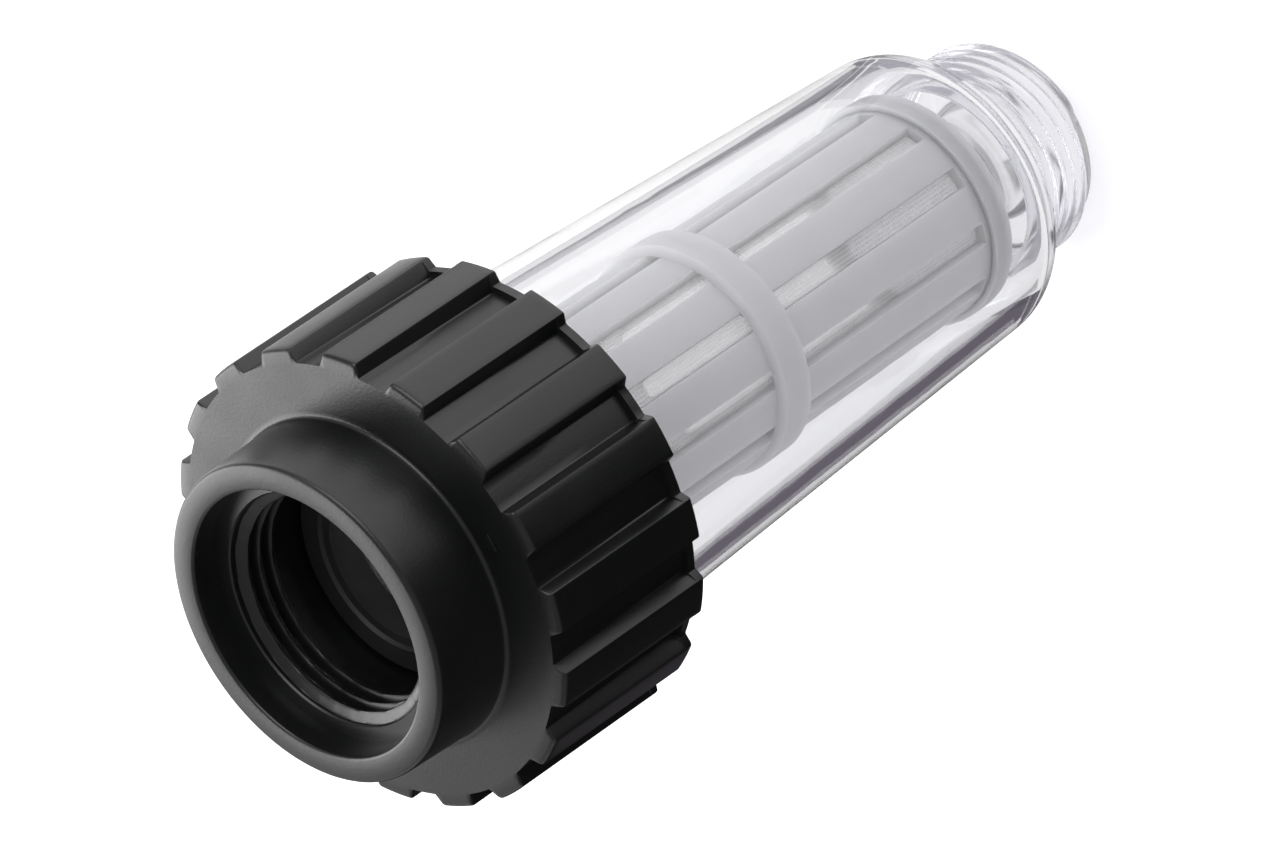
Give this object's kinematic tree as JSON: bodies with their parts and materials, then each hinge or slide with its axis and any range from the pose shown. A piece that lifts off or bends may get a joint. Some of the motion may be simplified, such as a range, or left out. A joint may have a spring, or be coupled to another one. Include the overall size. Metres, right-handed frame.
{
  "type": "pressure washer inline filter",
  "caption": "Clear inline water filter with a male threaded end, a black ribbed screw cap with a female threaded neck, and a strainer inside.",
  "frame": {"origin": "centre of the male thread's end face, on the surface the filter stands on", "axes": "+Z along the filter's axis, up through the screw cap and out of its mouth; +X through the rib under the cap's triangle mark"},
  "size_m": [0.0532, 0.0528, 0.1216],
  "materials": {
    "clear_plastic": "clear moulded plastic, glossy",
    "black_plastic": "black moulded plastic, fine satin texture",
    "black_rubber": "smooth moulded rubber",
    "grey_plastic": "light grey moulded plastic, slightly translucent",
    "woven_mesh": "fine woven filament mesh"
  },
  "bodies": {
    "housing": {"clear_housing": "clear_plastic", "strainer_frame": "grey_plastic", "strainer_mesh": "woven_mesh", "strainer_end_cap": "grey_plastic"},
    "gasket": {"cap_gasket": "black_rubber"},
    "cap": {"screw_cap": "black_plastic", "neck_washer": "black_rubber"}
  },
  "joints": [
    {"name": "cap_rise", "type": "slide", "parent": "housing", "child": "gasket", "axis": [0, 0, 1], "range_m": [0, 0.01]},
    {"name": "cap_turn", "type": "hinge", "parent": "gasket", "child": "cap", "pos_m": [0, 0, 0.1], "axis": [0, 0, 1], "range_deg": [0, 900]}
  ],
  "couplings": [
    {"joint": "cap_rise", "follows": "cap_turn", "m_per_rad": 0.00063662}
  ]
}
